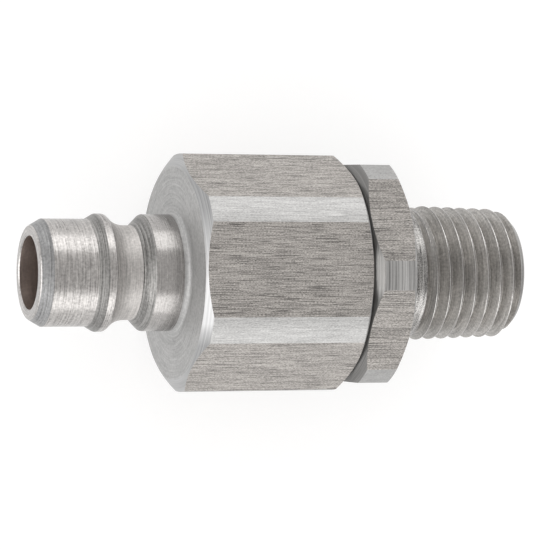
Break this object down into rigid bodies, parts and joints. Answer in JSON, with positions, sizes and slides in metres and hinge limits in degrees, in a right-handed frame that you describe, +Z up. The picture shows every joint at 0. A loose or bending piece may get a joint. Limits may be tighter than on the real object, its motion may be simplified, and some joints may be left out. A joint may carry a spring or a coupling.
{
  "type": "hydraulic quick coupler plug",
  "caption": "Plug half of a hydraulic quick coupler: turned nose with locking groove, hexagon body, hexagon end adapter with male taper pipe thread, spring-loaded shut-off poppet inside.",
  "frame": {"origin": "centre of the nose's end face, on the part's axis", "axes": "+X along the part's axis from the nose to the pipe thread, +Z up, square to the body flat that lies on the ground"},
  "size_m": [0.051, 0.0239, 0.0238],
  "materials": {
    "stainless_steel": "turned and drawn bar, satin",
    "spring_steel": "drawn wire",
    "seal_rubber": "moulded"
  },
  "bodies": {
    "housing": {"plug_body": "stainless_steel", "end_adapter": "stainless_steel", "adapter_seal": "seal_rubber", "valve_guide": "stainless_steel", "valve_spring": "spring_steel"},
    "valve": {"valve_poppet": "stainless_steel", "poppet_seal": "seal_rubber"}
  },
  "joints": [
    {"name": "poppet_slide", "type": "slide", "parent": "housing", "child": "valve", "axis": [1, 0, 0], "range_m": [0, 0.004], "stiffness_N_per_m": 1500, "springref_m": -0.004, "deforming": ["valve_spring"]}
  ]
}
